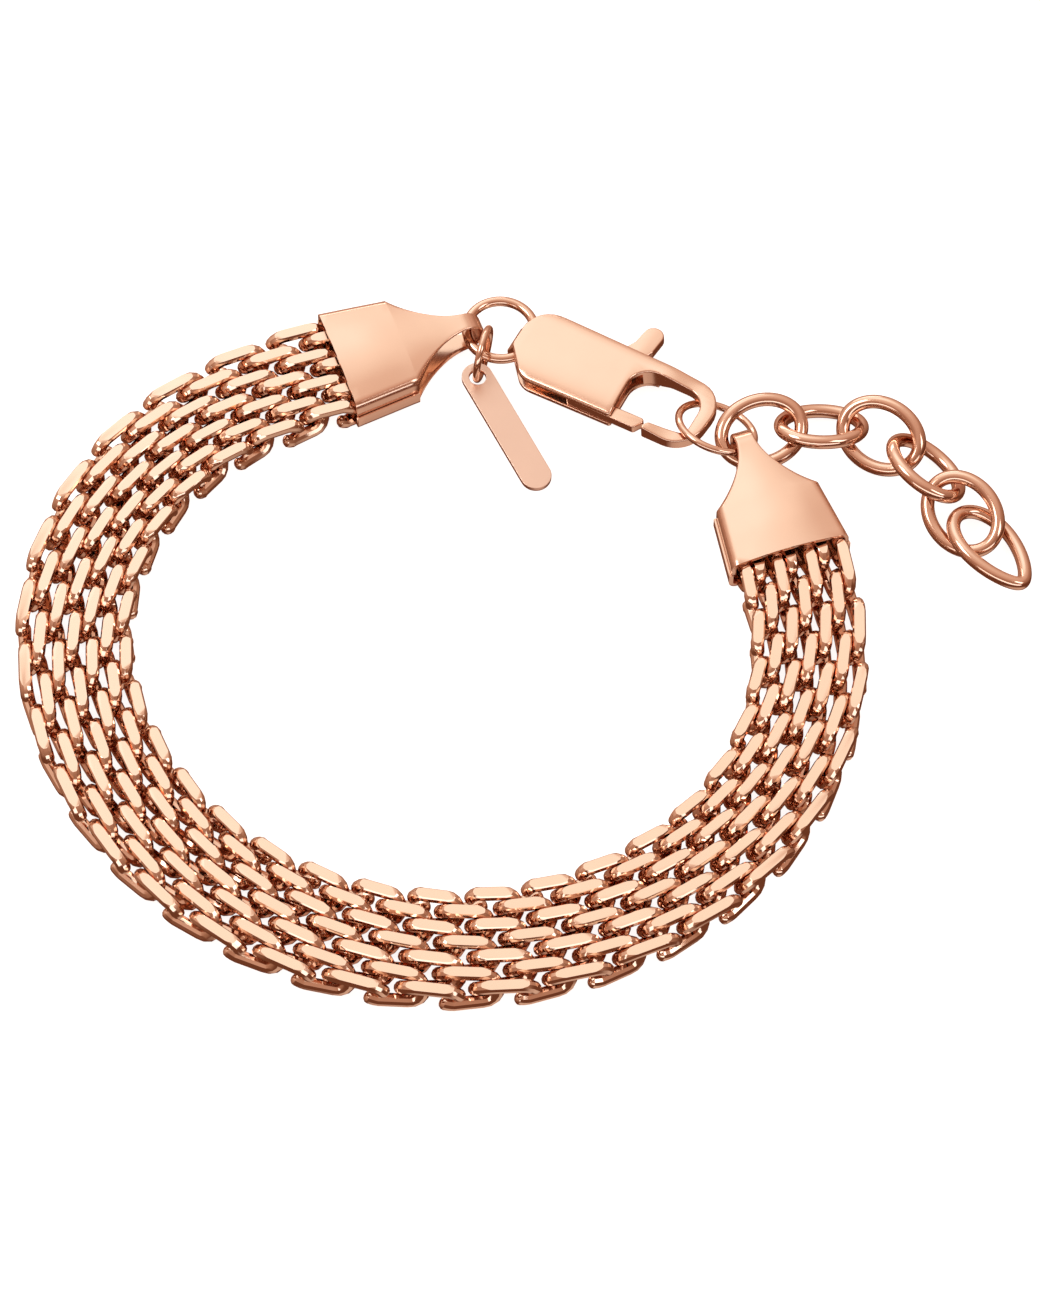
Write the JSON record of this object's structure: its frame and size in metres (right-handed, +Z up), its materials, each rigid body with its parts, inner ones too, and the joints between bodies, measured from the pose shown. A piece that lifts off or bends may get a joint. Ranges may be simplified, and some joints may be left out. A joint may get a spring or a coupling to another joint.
{
  "type": "bracelet",
  "caption": "Wide woven-mesh bracelet with folded end caps, a lever clasp on a jump ring, a small bare tag and a short extender chain.",
  "frame": {"origin": "the middle of the wrist opening, on the surface that the bracelet lies on", "axes": "+Z up along the wrist's axis, +Y towards the clasp, +X towards the extender chain"},
  "size_m": [0.0818, 0.0654, 0.0049],
  "materials": {
    "mesh_steel": "polished stainless steel with a rose gold coloured coating, its bars ground flat",
    "sheet_steel": "polished stainless steel sheet with a rose gold coloured coating",
    "wire_steel": "polished round stainless steel wire with a rose gold coloured coating",
    "tag_steel": "satin stainless steel with a rose gold coloured coating"
  },
  "bodies": {
    "bracelet": {"band": "mesh_steel", "cap_left": "sheet_steel", "cap_right": "sheet_steel", "clasp_ring": "wire_steel", "tag_ring": "wire_steel", "tag": "tag_steel", "clasp_body": "sheet_steel", "catch_ring": "wire_steel", "link_1": "wire_steel", "link_2": "wire_steel", "link_3": "wire_steel", "link_4": "wire_steel", "link_5": "wire_steel", "link_6": "wire_steel"},
    "lever": {"clasp_lever": "sheet_steel"}
  },
  "joints": [
    {"name": "lever_hinge", "type": "hinge", "parent": "bracelet", "child": "lever", "pos_m": [0.01329, 0.02437, 0.00159], "axis": [-0.0491, 0.0266, 0.9984], "range_deg": [0, 25], "stiffness_Nm_per_rad": 0.0004}
  ]
}
